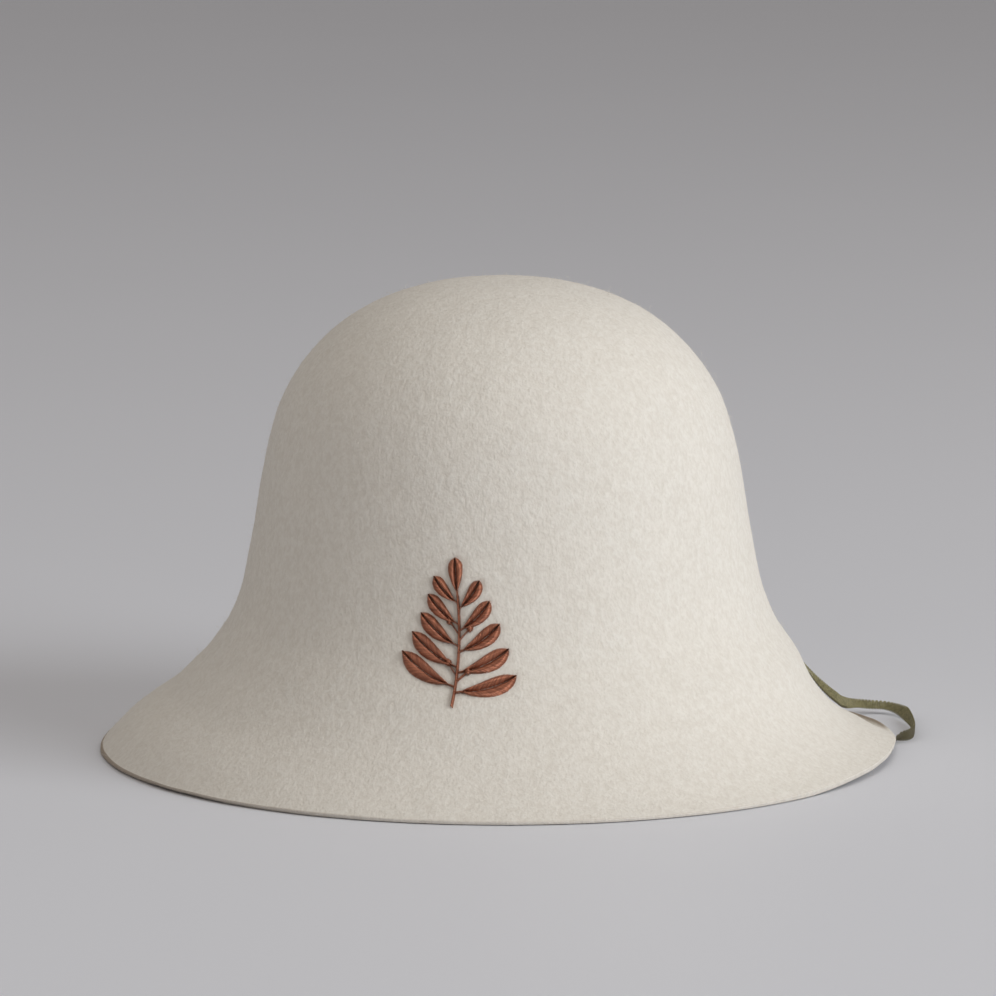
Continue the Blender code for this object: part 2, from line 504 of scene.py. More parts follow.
class Growth(Nodes):
    """A geometry tree with named inputs, which turns an object's mesh into another."""

    def __init__(self, name, inputs):
        tree = bpy.data.node_groups.new(name, "GeometryNodeTree")
        super().__init__(tree)
        face = tree.interface
        face.new_socket("Geometry", in_out="OUTPUT", socket_type="NodeSocketGeometry")
        face.new_socket("Geometry", in_out="INPUT", socket_type="NodeSocketGeometry")
        self.identifiers = {}
        for label, kind in inputs.items():
            socket = face.new_socket(label, in_out="INPUT", socket_type="NodeSocket" + kind)
            self.identifiers[label] = socket.identifier
        self.entry = tree.nodes.new("NodeGroupInput")
        self.exit = tree.nodes.new("NodeGroupOutput")

    def given(self, name):
        """The wire of one named input."""
        return Wire(self, self.entry, self.entry.outputs[name])

    def chance(self, low, high, seed):
        """A random number for each point."""
        values = {2: low, 3: high, "Seed": seed}
        return self.add("FunctionNodeRandomValue", {"data_type": "FLOAT"}, values, out=1)

    def attribute(self, name, kind="FLOAT"):
        """What the source's mesh holds under a name for each of its points."""
        settings = {"data_type": kind}
        return self.add("GeometryNodeInputNamedAttribute", settings, {"Name": name})

    def line(self, start, end):
        """A straight curve."""
        return self.add("GeometryNodeCurvePrimitiveLine", {}, {"Start": start, "End": end})

    def in_steps(self, curve, length):
        """A curve whose points are a length apart."""
        values = {"Curve": curve, "Length": length}
        return self.add("GeometryNodeResampleCurve", {"mode": "LENGTH"}, values)

    def in_points(self, curve, count):
        """A curve of a count of points."""
        values = {"Curve": curve, "Count": count}
        return self.add("GeometryNodeResampleCurve", {"mode": "COUNT"}, values)

    def copies(self, curve, amount):
        """Copies of a curve, and the number of each from 0."""
        copies = self.add("GeometryNodeDuplicateElements", {"domain": "SPLINE"},
                          {"Geometry": curve, "Amount": amount})
        return copies, copies.other("Duplicate Index")

    def moved(self, geometry, offset):
        """A geometry whose points move by an offset."""
        values = {"Geometry": geometry, "Offset": offset}
        return self.add("GeometryNodeSetPosition", {}, values)

    def ring(self, sides, radius):
        """The outline of a thread's cross-section."""
        values = {"Resolution": sides, "Radius": radius}
        return self.add("GeometryNodeCurvePrimitiveCircle", {}, values)

    def swept(self, curve, ring, **more):
        """A thread along a curve, closed at its ends."""
        values = {"Curve": curve, "Profile Curve": ring, "Fill Caps": True, **more}
        return self.add("GeometryNodeCurveToMesh", {}, values)

    def yarn(self, curve, sides, width, height, **more):
        """A flat-lying yarn of oval cross-section along a curve."""
        level = self.add("GeometryNodeSetCurveNormal", {"mode": "Z_UP"}, {"Curve": curve})
        values = {"Geometry": self.ring(sides, 1.0), "Scale": self.place(width, height, 1.0)}
        return self.swept(level, self.add("GeometryNodeTransform", {}, values), **more)

    def set_on(self, points, instance, rotation, scale):
        """A copy of a geometry at each point, turned and scaled."""
        values = {"Points": points, "Instance": instance, "Rotation": rotation, "Scale": scale}
        return self.add("GeometryNodeInstanceOnPoints", {}, values)

    def end(self, shape):
        """Make the instances real, give them the material and end the tree."""
        real = self.add("GeometryNodeRealizeInstances", {}, {"Geometry": shape})
        values = {"Geometry": real, "Material": self.given("Material")}
        self.give(self.exit.inputs[0], self.add("GeometryNodeSetMaterial", {}, values))

    def grow(self, name, source, values):
        """A new object whose plain mesh this tree makes from the source object."""
        modifier = source.modifiers.new(name, "NODES")
        modifier.node_group = self.tree
        for label, value in values.items():
            modifier[self.identifiers[label]] = value
        graph = bpy.context.evaluated_depsgraph_get()
        mesh = bpy.data.meshes.new_from_object(
            source.evaluated_get(graph), preserve_all_data_layers=True, depsgraph=graph)
        source.modifiers.remove(modifier)
        return shown(name, mesh)


def shown(name, mesh):
    """A new object in the scene."""
    mesh.name = name
    made = bpy.data.objects.new(name, mesh)
    bpy.context.scene.collection.objects.link(made)
    return made


def discard(thing):
    """Remove an object that only served to make another."""
    bpy.data.objects.remove(thing)


def unit(vectors):
    """The same directions, one metre long."""
    return vectors / np.linalg.norm(vectors, axis=-1, keepdims=True)


def corners(mesh):
    """A mesh's vertices as an array."""
    places = np.empty(len(mesh.vertices) * 3)
    mesh.vertices.foreach_get("co", places)
    return places.reshape(-1, 3)


def smooth_rows(rows, before, after, steps=24):
    """Rows of a smooth curve through the given rows, each column interpolated alike."""
    knots = np.array([before, *rows, after], float)
    t = np.arange(steps)[:, None] / steps
    curve = [
        b + t * (c - a + t * (2 * a - 5 * b + 4 * c - d + t * (3 * (b - c) + d - a))) / 2
        for a, b, c, d in zip(knots, knots[1:], knots[2:], knots[3:])]
    return np.concatenate([*curve, knots[-2:-1]])


class Walk:
    """A curve of rows that is read by the share of its length; the first columns are places."""

    def __init__(self, rows, place_columns):
        steps = np.linalg.norm(np.diff(rows[:, :place_columns], axis=0), axis=1)
        self.rows = rows
        self.lengths = np.concatenate([[0.0], np.cumsum(steps)])
        self.length = self.lengths[-1]

    def at(self, share):
        """The rows at these shares of the curve's length."""
        target = np.clip(share, 0.0, 1.0) * self.length
        columns = [np.interp(target, self.lengths, column) for column in self.rows.T]
        return np.stack(columns, axis=-1)


def beyond(last, previous):
    """A row as far past the last one as the previous one is before it."""
    return 2 * np.array(last) - np.array(previous)


def mirrored(section):
    """The same section on the other side of the axis."""
    return Section(-section.radius, *section[1:])


BELL_WALK = Walk(smooth_rows(BELL, mirrored(BELL[1]), beyond(BELL[-1], BELL[-2])), 2)
LAST_SHARE = 1 - CUT_CORNER / MM / BELL_WALK.length


def ease(t):
    """A smooth step from 0 to 1."""
    t = np.clip(t, 0.0, 1.0)
    return t * t * (3 - 2 * t)


def weight(side, azimuth):
    """1 in the middle of a side of the hat, falling smoothly to 0 where its reach ends."""
    turn = (azimuth - side.azimuth + 180) % 360 - 180
    return ease(1 - abs(turn) / side.reach)


def felt_point(azimuth, share):
    """Points on the outside of the felt, in metres."""
    radius, height, left, right = np.moveaxis(BELL_WALK.at(share), -1, 0)
    height = height + left * weight(LEFT_SIDE, azimuth) + right * weight(RIGHT_SIDE, azimuth)
    outwards = np.clip((radius - FLARE_STARTS) / (BELL[-1].radius - FLARE_STARTS), 0.0, None)
    for change in EDGE:
        share_here = weight(change.where, azimuth) * outwards
        height = height + change.lift * share_here * outwards ** 2
        radius = radius * (1 + change.spread * share_here)
    angle = np.radians(azimuth)
    return np.stack([radius * np.cos(angle), radius * np.sin(angle), height], axis=-1) * MM


def worn_point(azimuth, share):
    """Points on the outside of the felt with the small changes at its edge that the solids
    leave out: the edge dips and turns up at the back right, and sags at the left."""
    lip = LIP_HEIGHT * ease((share - LIP_FROM) / (1 - LIP_FROM))
    lip -= LIP_DIP * ease((share - LIP_DIP_FROM) / (LIP_FROM - LIP_DIP_FROM))
    sag = SAG_DEPTH * ease((share - SAG_FROM) / (1 - SAG_FROM))
    points = felt_point(azimuth, share)
    points[..., 2] += lip * weight(LIP_SIDE, azimuth) - sag * weight(LEFT_SIDE, azimuth)
    return points


def felt_directions(azimuth, share, point=felt_point):
    """The directions down along the felt and straight out of it."""
    share = np.maximum(share, FIRST_PROBED)
    round_step = point(azimuth + TURN_PROBE, share) - point(azimuth - TURN_PROBE, share)
    down_step = point(azimuth, share + SHARE_PROBE) - point(azimuth, share - SHARE_PROBE)
    return unit(down_step), unit(np.cross(down_step, round_step))


def relief(places):
    """How far the fulled surface swells at these places, in metres."""
    return np.array([
        SWELL_HEIGHT * noise.noise(Vector(place) / SWELL_SIZE)
        + LUMP_HEIGHT * noise.noise(Vector(place) / LUMP_SIZE) for place in places])


def laid_on_felt(places, azimuth, share, lift=0.0):
    """Flat places, x round the hat, y up it and z out of it, wrapped onto the felt."""
    x, y, z = places.T
    down = share - y / (BELL_WALK.length * MM)
    local_radius = BELL_WALK.at(down)[:, 0] * MM
    around = azimuth + np.degrees(x / local_radius)
    surface = felt_point(around, down)
    out = felt_directions(around, down)[1]
    return surface + out * (relief(surface) + z + lift)[:, None]


def against_felt(row, outside):
    """A point of the loop's route on one face of the felt, clear of it: x, y, z, the three
    parts of the direction out of the felt, and the lean."""
    lean = math.radians(row.lean)
    clear = (TAPE_WIDTH * math.cos(lean) + TAPE_THICKNESS * math.sin(lean)) / 2 + TAPE_GAP
    if not outside:
        clear = -clear - FELT_THICKNESS
    out = felt_directions(row.azimuth, row.share)[1]
    return (*(felt_point(row.azimuth, row.share) + out * clear), *out, row.lean)


def loop_route():
    """The middle of the tape from its sewn end outside to its sewn end inside."""
    rows = [against_felt(row, outside=True) for row in LOOP_OUTSIDE]
    rows += [(row.x * MM, row.y * MM, row.z * MM, 0, 0, 1, row.lean) for row in LOOP_ROUND]
    rows += [against_felt(row, outside=False) for row in LOOP_INSIDE]
    return Walk(smooth_rows(rows, beyond(rows[0], rows[1]), beyond(rows[-1], rows[-2])), 3)


def along_route(places, route):
    """Flat places, x along the tape, y across it and z through it, bent along the route."""
    share = places[:, 0] / route.length
    rows = route.at(share)
    run = unit(route.at(share + SHARE_PROBE)[:, :3] - route.at(share - SHARE_PROBE)[:, :3])
    outwards = unit(np.cross(rows[:, 3:6], run))
    upwards = unit(np.cross(run, outwards))
    lean = np.radians(rows[:, 6:7])
    across = upwards * np.cos(lean) + outwards * np.sin(lean)
    through = np.cross(run, across)
    return rows[:, :3] + across * places[:, 1:2] + through * places[:, 2:3]


def put(mesh, places):
    """Move a mesh's vertices to new places."""
    mesh.vertices.foreach_set("co", places.astype(np.float32).ravel())
    mesh.update()


def note(mesh, label, values):
    """Write a number for each of a mesh's points on it, for a material or a tree to read."""
    layer = mesh.attributes.new(label, "FLOAT", "POINT")
    layer.data.foreach_set("value", values.astype(np.float32).ravel())


def lying_flat(rows):
    """Rows of x and y in mm as points or vectors in metres with no height."""
    return np.column_stack([rows * MM, np.zeros(len(rows))])


def guide(lines):
    """An object of loose edges that stitches follow. Each line has its stitches' middles and
    the vectors across them, in mm."""
    middles = lying_flat(np.concatenate([middle for middle, _ in lines]))
    vectors = lying_flat(np.concatenate([across for _, across in lines]))
    edges = []
    start = 0
    for middle, _ in lines:
        edges += [(start + step, start + step + 1) for step in range(len(middle) - 1)]
        start += len(middle)
    mesh = bpy.data.meshes.new("guide")
    mesh.from_pydata(middles.tolist(), edges, [])
    layer = mesh.attributes.new("across", "FLOAT_VECTOR", "POINT")
    layer.data.foreach_set("vector", vectors.ravel())
    return shown("guide", mesh)


def stitch_growth():
    """Satin stitches: at each step of the guide one arched thread, as long as the guide's
    attribute across says and turned like it."""
    nodes = Growth("satin_stitches", {
        "Step": "Float", "Thickness": "Float", "Arch": "Float", "Sink": "Float",
        "Seed": "Int", "Material": "Material"})
    seed = nodes.given("Seed")
    lines = nodes.add("GeometryNodeMeshToCurve", {}, {"Mesh": nodes.given("Geometry")})
    steps = nodes.in_steps(lines, nodes.given("Step"))
    across = nodes.attribute("across", "FLOAT_VECTOR")
    facing = nodes.add("FunctionNodeAlignRotationToVector", {"axis": "X", "pivot_axis": "Z"},
                       {"Vector": across})
    span = nodes.size(across) * nodes.chance(*STITCH_LENGTHS, seed)
    tall = nodes.chance(*STITCH_HEIGHTS, seed + 1)
    thread = nodes.in_points(nodes.line((-0.5, 0.0, 0.0), (0.5, 0.0, 0.0)), THREAD_POINTS)
    x = nodes.parts(nodes.add("GeometryNodeInputPosition"))[0]
    bow = 1 - abs(x * 2) ** 2.0
    height = bow * nodes.given("Arch") - (1 - bow) * nodes.given("Sink")
    ring = nodes.ring(THREAD_SIDES, nodes.given("Thickness") / 2)
    thread = nodes.swept(nodes.moved(thread, nodes.place(0.0, 0.0, height)), ring)
    placed = nodes.set_on(steps, thread, facing, nodes.place(span, 1.0, tall))
    tone = {"Geometry": placed, "Name": "tone", "Value": nodes.chance(0.0, 1.0, seed + 2)}
    nodes.end(nodes.add("GeometryNodeStoreNamedAttribute",
                        {"data_type": "FLOAT", "domain": "INSTANCE"}, tone))
    return nodes


def turned(vectors, degrees):
    """Flat vectors turned anticlockwise."""
    angle = math.radians(degrees)
    x, y = vectors[..., 0], vectors[..., 1]
    return np.stack([x * math.cos(angle) - y * math.sin(angle),
                     x * math.sin(angle) + y * math.cos(angle)], axis=-1)


def bent_line(start, heading, length, bend, count):
    """Points of a line in mm that sets out at a heading, in degrees from upright towards the
    right, and turns by the bend on its way; with the directions along it."""
    share = np.linspace(0.0, 1.0, count)
    angle = np.radians(heading + bend * (share - 0.5))
    ways = np.stack([np.sin(angle), np.cos(angle)], axis=-1)
    steps = (ways[1:] + ways[:-1]) / 2 * length / (count - 1)
    points = np.concatenate([[np.zeros(2)], np.cumsum(steps, axis=0)]) + np.array(start)
    return points, ways


def stroke(points, ways, width):
    """A narrow line of satin stitches across its own way."""
    across = turned(ways, STEM_SLANT) * width / math.sin(math.radians(STEM_SLANT))
    return points, across


def half_leaf(points, ways, width, side):
    """One half of a leaf: stitches from its midrib outwards and towards the tip."""
    share = np.linspace(0.0, 1.0, len(points))
    half_width = width / 2 * np.sin(math.pi * share ** LEAF_WIDEST) ** LEAF_FULLNESS
    reach = np.maximum(half_width, SHORTEST_STITCH) / math.sin(math.radians(LEAF_SLANT))
    across = turned(ways, side * LEAF_SLANT) * reach[:, None]
    aside = turned(ways, side * 90.0) * LEAF_VEIN / 2
    return points + aside + across / 2, across


def leaf(foot, heading, length, width, bend):
    """A stalk and the two halves of a leaf, in mm."""
    stalk = length * STALK_SHARE
    points, ways = bent_line(foot, heading - bend / 2, stalk, 0.0, STALK_POINTS)
    lines = [stroke(points, ways, STALK_WIDTH)]
    points, ways = bent_line(points[-1], heading, length - stalk, bend, LEAF_POINTS)
    return lines + [half_leaf(points, ways, width, side) for side in (1, -1)]


def berry(foot, heading):
    """A berry on its stalk: a line of stitches that ends in a round dot of them, in mm."""
    points, ways = bent_line(foot, heading, BERRY_STALK, 0.0, BERRY_STALK_POINTS)
    height = np.linspace(-BERRY_REACH, BERRY_REACH, BERRY_ROWS) * BERRY_SIZE
    chord = 2 * np.sqrt(BERRY_SIZE ** 2 / 4 - height ** 2)
    middles = np.stack([np.zeros(BERRY_ROWS), height], axis=-1)
    middles = middles + (points[-1] + ways[-1] * BERRY_OFFSET)
    across = np.stack([chord, chord * BERRY_SLANT], axis=-1)
    return [stroke(points, ways, BERRY_STALK_WIDTH), (middles, across)]


class Taper(NamedTuple):
    """A size of the lowest pair of leaves, and how much less it is in each pair above."""
    lowest: float
    less: float

    def at(self, pair):
        """The size in one pair."""
        return self.lowest - self.less * pair


LEAF_SPREAD = Taper(63.0, 6.5)
LEAF_LENGTH = Taper(25.0, 2.8)
LEAF_WIDTH = Taper(7.6, 0.65)


def heading_of(way):
    """A direction's heading, in degrees from upright towards the right."""
    return math.degrees(math.atan2(*way))


def sprig_lines():
    """The stitch lines of the leaf sprig, in mm from the design's middle: a bent stem, pairs
    of leaves that shorten upwards, a leaf at the tip and berries between them."""
    stem, ways = bent_line(STEM_FOOT, STEM_HEADING, STEM_LENGTH, STEM_BEND, STEM_POINTS)
    lines = [stroke(stem, ways, STEM_WIDTH)]
    for pair in range(LEAF_PAIRS):
        for side in (1, -1):
            step = FIRST_LEAF + pair * LEAF_SPACING + (0 if side > 0 else LEAF_STAGGER)
            heading = heading_of(ways[step])
            lines += leaf(stem[step], heading + side * LEAF_SPREAD.at(pair),
                          LEAF_LENGTH.at(pair), LEAF_WIDTH.at(pair), -side * LEAF_BEND)
            if pair in BERRY_PAIRS:
                lines += berry(stem[step + BERRY_ABOVE], heading + side * BERRY_HEADING)
    heading = heading_of(ways[-1]) + TIP_LEAF_TURN
    return lines + leaf(stem[-1], heading, TIP_LEAF_LENGTH, TIP_LEAF_WIDTH, TIP_LEAF_BEND)


def stitch_gap(azimuth, share):
    """How far these places on the felt are from the nearest stitch of the sprig, in mm."""
    radius = BELL_WALK.at(share)[:, 0]
    x = np.radians(azimuth - DESIGN_AZIMUTH) * radius + DESIGN_LEFT
    y = (DESIGN_SHARE - share) * BELL_WALK.length
    near = np.flatnonzero((abs(x) < DESIGN_HALF_WIDTH) & (abs(y) < DESIGN_HALF_HEIGHT))
    places = np.stack([x[near], y[near]], axis=-1)
    closest = np.full(len(near), np.inf)
    for middles, across in sprig_lines():
        for middle, vector in zip(middles[::2], across[::2]):
            reach = np.linalg.norm(vector)
            offset = places - middle
            along = np.clip(offset @ vector / reach ** 2, -0.5, 0.5)
            gap = np.linalg.norm(offset - along[:, None] * vector, axis=1)
            closest = np.minimum(closest, gap)
    gaps = np.full(len(x), np.inf)
    gaps[near] = closest
    return gaps


def tape_gap(places):
    """How far these places are from the middle of the tape, in metres."""
    closest = np.full(len(places), np.inf)
    for point in loop_route().at(np.linspace(0.0, 1.0, ROUTE_POINTS))[:, :3]:
        closest = np.minimum(closest, np.linalg.norm(places - point, axis=1))
    return closest


def turns_round_the_hat():
    """The columns of the felt's mesh in degrees, closer together where the sprig is."""
    fine = np.arange(FINE_TURN_FROM, FINE_TURN_TO, FINE_TURN)
    count = round((360 - FINE_TURN_TO + FINE_TURN_FROM) / COARSE_TURN)
    coarse = np.linspace(FINE_TURN_TO, FINE_TURN_FROM + 360, count, endpoint=False)
    return np.concatenate([fine, coarse])


def rows_down_the_hat():
    """The rows of the felt's outside as shares, closer together where the sprig is."""
    length = BELL_WALK.length
    knots = ((0.0, CROWN_ROW), (DESIGN_SHARE - DESIGN_REACH, SPRIG_ROW),
             (DESIGN_SHARE + DESIGN_REACH, BRIM_ROW), (EDGE_ROWS_FROM, EDGE_ROW), (1.0, None))
    spans = [np.arange(start * length, end * length, step) / length
             for (start, step), (end, _) in zip(knots, knots[1:])]
    rows = np.concatenate(spans)
    return rows[rows < LAST_SHARE]


def cut_edge_rows():
    """The rounded cut edge as steps along the felt and into it, in metres."""
    turn = np.linspace(0.0, math.pi / 2, CUT_STEPS)
    upper = np.stack([CUT_CORNER * np.sin(turn), -CUT_CORNER * (1 - np.cos(turn))], axis=-1)
    lower = np.stack([upper[::-1, 0], -FELT_THICKNESS - upper[::-1, 1]], axis=-1)
    depths = np.linspace(upper[-1, 1], lower[0, 1], CUT_FLAT_ROWS + 2)[1:-1]
    flat = np.stack([np.full(CUT_FLAT_ROWS, CUT_CORNER), depths], axis=-1)
    return np.concatenate([upper, flat, lower])


class Wall(NamedTuple):
    """The felt's wall, row by row: its share, its steps along the felt and into it in metres,
    1 for outside and 0 for inside, 1 at the cut, and where the loose wool finds it. The slice
    edge takes out the cut edge's rows."""
    edge: slice
    share: np.ndarray
    onwards: np.ndarray
    inwards: np.ndarray
    outside: np.ndarray
    cut: np.ndarray
    way_down: np.ndarray


def wall_rows():
    """The wall's rows, down the outside, round the cut edge and up the inside."""
    outer = rows_down_the_hat()
    edge = cut_edge_rows()
    inner = np.linspace(outer[-1], 0.0, INNER_ROWS)[1:]
    sizes = len(outer), len(edge), len(inner)

    def column(*values):
        """One number for each row, from what each of the three stretches has."""
        parts = [np.broadcast_to(value, size) for value, size in zip(values, sizes)]
        return np.concatenate(parts)[:, None]

    return Wall(
        edge=slice(sizes[0], sizes[0] + sizes[1]),
        share=column(outer, LAST_SHARE, inner),
        onwards=column(0.0, edge[:, 0], 0.0),
        inwards=column(0.0, edge[:, 1], -FELT_THICKNESS),
        outside=column(1.0, np.linspace(1.0, 0.0, sizes[1]), 0.0),
        cut=column(0.0, 1.0, 0.0),
        way_down=column(outer, 1.0, -1.0))


def edge_stray(wall, turns):
    """How far the edge strays from its plain line: it wavers, and the cut slants in places."""
    rim = felt_point(turns[0], np.ones(turns.shape[1]))
    waver = np.array([noise.noise(Vector(place) / CUT_WAVER_LENGTH) for place in rim])
    waver = waver * CUT_WAVER * ease((wall.share - CUT_WAVER_FROM) / (1 - CUT_WAVER_FROM))
    slant = sum(part.out * MM * weight(part.where, turns) for part in CUT_SLANTS)
    return waver, slant * wall.cut * (1 - wall.outside)


def edge_colour_and_shade(wall, turns):
    """How dark the edge is: the cut's own colour all round, and painted shade over the whole cut
    at the left, its lower corner all round and the upturned lip at the back right."""
    # The cut's own darker colour all round, made much darker at the left with painted shade, on
    # the side away from the light.
    cut_colour_and_left_shade = wall.cut * np.maximum(weight(LEFT_SIDE, turns), CUT_TINT)
    # Painted contact shade along the cut's lower corner, all round.
    corner_shade = wall.cut * ease((CORNER_SHADE_REACH - wall.outside) / CORNER_SHADE_REACH) * CORNER_SHADE
    # Painted shade on the upturned lip at the back right, where it turns from the light.
    lip = ease((wall.share - LIP_SHADE_FROM) / (LIP_SHADE_TO - LIP_SHADE_FROM))
    lip = lip * ease(LIP_SHADE_RISE * weight(LIP_SHADE_SIDE, turns))
    return np.maximum(np.maximum(cut_colour_and_left_shade, corner_shade), lip * wall.outside)


def squeeze_edge(edge):
    """Squeeze the cut edge's rows, so that its lower corner stays a little off the floor."""
    heights = edge[..., 2]
    top, low = heights[0], heights[-1]
    squeeze = np.minimum((top - CUT_LIFT) / (top - low), 1.0)
    heights[:] = top - (top - heights) * squeeze


def felt_shell():
    """The felt as one closed wall: outside, cut edge and inside, pressed flat on the floor."""
    wall = wall_rows()
    turns = turns_round_the_hat()[None, :]
    surface = worn_point(turns, wall.share)
    down, out = felt_directions(turns, wall.share, worn_point)
    flat = surface.reshape(-1, 3)
    grid = surface.shape[:2]
    bumps = relief(flat).reshape(grid)
    gaps = stitch_gap(np.broadcast_to(turns, grid).ravel(),
                      np.broadcast_to(wall.share, grid).ravel()).reshape(grid)
    dents = STITCH_DENT * (1 - ease(gaps / STITCH_DENT_REACH))
    bare = (gaps < BARE_BY_STITCHES) | (tape_gap(flat).reshape(grid) < BARE_BY_TAPE)
    waver, slant = edge_stray(wall, turns)
    places = (surface + down * (wall.onwards + waver + slant)[..., None]
              + out * (wall.inwards + bumps - dents * wall.outside)[..., None])
    squeeze_edge(places[wall.edge])
    places[..., 2] = np.maximum(places[..., 2], 0.0)
    layers = {"cut_colour_and_shade": edge_colour_and_shade(wall, turns), "way_down": wall.way_down, "bare": bare}
    return ring_mesh("felt", places, layers)


def ring_mesh(name, places, layers):
    """A closed mesh of rings, each joined to the next; the end rings are single points."""
    rows, columns = places.shape[:2]
    mesh = bpy.data.meshes.new(name)
    index = np.arange(rows * columns).reshape(rows, columns)
    after = np.roll(index, -1, axis=1)
    quads = np.stack([index[:-1], index[1:], after[1:], after[:-1]], axis=-1)
    mesh.from_pydata(places.reshape(-1, 3).tolist(), [], quads.reshape(-1, 4).tolist())
    for label, values in layers.items():
        note(mesh, label, np.broadcast_to(values, (rows, columns)))
    shape = bmesh.new()
    shape.from_mesh(mesh)
    bmesh.ops.remove_doubles(shape, verts=shape.verts, dist=SAME_PLACE)
    bmesh.ops.dissolve_degenerate(shape, edges=shape.edges, dist=SAME_PLACE)
    shape.to_mesh(mesh)
    shape.free()
    mesh.shade_smooth()
    return mesh


def wool_growth():
    """Loose wool: short bent fibres strewn over a stretch of the felt's outside."""
    nodes = Growth("loose_wool", {
        "Fibres per square metre": "Float", "From": "Float", "To": "Float",
        "Shortest": "Float", "Longest": "Float", "Thickness": "Float", "Lean": "Float",
        "Rise": "Float", "Seed": "Int", "Material": "Material"})
    seed, lean, rise = nodes.given("Seed"), nodes.given("Lean"), nodes.given("Rise")
    down = nodes.attribute("way_down")
    below = nodes.math("GREATER_THAN", down, nodes.given("From"))
    above = nodes.math("LESS_THAN", down, nodes.given("To"))
    spots = nodes.add("GeometryNodeDistributePointsOnFaces", {}, {
        "Mesh": nodes.given("Geometry"), "Selection": below * above, "Seed": seed,
        "Density": nodes.given("Fibres per square metre") * (1 - nodes.attribute("bare"))})
    tip = nodes.place(nodes.chance(-FIBRE_TIP, FIBRE_TIP, seed + 1),
                      nodes.chance(-FIBRE_TIP, FIBRE_TIP, seed + 2),
                      nodes.chance(0.0, FIBRE_SPIN, seed + 3))
    spin = nodes.add("FunctionNodeEulerToRotation", {}, {0: tip})
    turn = nodes.add("FunctionNodeRotateRotation", {"rotation_space": "LOCAL"},
                     {"Rotation": spots.other("Rotation"), "Rotate By": spin})
    size = nodes.chance(0.0, 1.0, seed + 4) ** 2.0
    size = nodes.given("Shortest") + (nodes.given("Longest") - nodes.given("Shortest")) * size
    fibre = nodes.add("GeometryNodeCurveQuadraticBezier", {}, {
        "Resolution": FIBRE_STEPS, "Start": (0.0, 0.0, FIBRE_ROOT),
        "Middle": nodes.place(lean * FIBRE_MIDDLE, FIBRE_SWING[0], rise),
        "End": nodes.place(lean, FIBRE_SWING[1], rise * FIBRE_DROOP)})
    fibre = nodes.swept(fibre, nodes.ring(FIBRE_SIDES, nodes.given("Thickness") / 2))
    nodes.end(nodes.set_on(spots, fibre, turn, nodes.place(size, size, size)))
    return nodes


def tape_growth():
    """A flat woven tape along +X: warp yarns that pass over and under the weft, and a weft
    that turns back at each edge, so that neighbouring picks meet there in pairs."""
    nodes = Growth("woven_tape", {
        "Length": "Float", "Width": "Float", "Pick step": "Float", "Warp yarns": "Int",
        "Yarn thickness": "Float", "Material": "Material"})
    length, width = nodes.given("Length"), nodes.given("Width")
    pick, yarn = nodes.given("Pick step"), nodes.given("Yarn thickness")
    warps = nodes.given("Warp yarns")
    pitch = (width - yarn * SELVEDGE_YARNS) / warps
    rise = yarn * YARN_RISE
    x, y, _ = nodes.parts(nodes.add("GeometryNodeInputPosition"))

    line = nodes.line((0.0, 0.0, 0.0), nodes.place(length, 0.0, 0.0))
    warp, number = nodes.copies(nodes.in_steps(line, pick / 2), warps)
    wave = nodes.math("COSINE", (x / pick + number) * math.pi)
    aside = (number + 0.5 - warps / 2) * pitch
    warp = nodes.moved(warp, nodes.place(0.0, aside, wave * rise))
    warp = nodes.yarn(warp, WARP_SIDES, pitch * WARP_OVAL[0], yarn * WARP_OVAL[1])

    line = nodes.line(nodes.place(0.0, width / -2, 0.0), nodes.place(0.0, width / 2, 0.0))
    line = nodes.in_points(line, warps * 2 + 1)
    weft, number = nodes.copies(line, nodes.math("FLOOR", length / pick))
    parity = 1 - (number % 2) * 2
    over = nodes.math("COSINE", (y / pitch + warps / 2 - 0.5) * math.pi)
    turning = yarn * TURNING_YARNS
    near_edge = nodes.math("MAXIMUM", (abs(y) - width / 2 + turning) / turning, 0.0)
    meet = nodes.math("SIGN", y) * parity * near_edge ** 1.5 * pick * WEFT_MEETS
    sink = over * parity * rise * -0.5 * (1 - near_edge)
    weft = nodes.moved(weft, nodes.place((number + 0.5) * pick + meet, 0.0, sink))
    weft = nodes.yarn(weft, WEFT_SIDES, pick * WEFT_OVAL[0], yarn * WEFT_OVAL[1],
                      Scale=1 - near_edge * WEFT_THINS)

    both = nodes.add("GeometryNodeJoinGeometry")
    for part in (warp, weft):
        nodes.give(both.node.inputs[0], part)
    nodes.end(both)
    return nodes


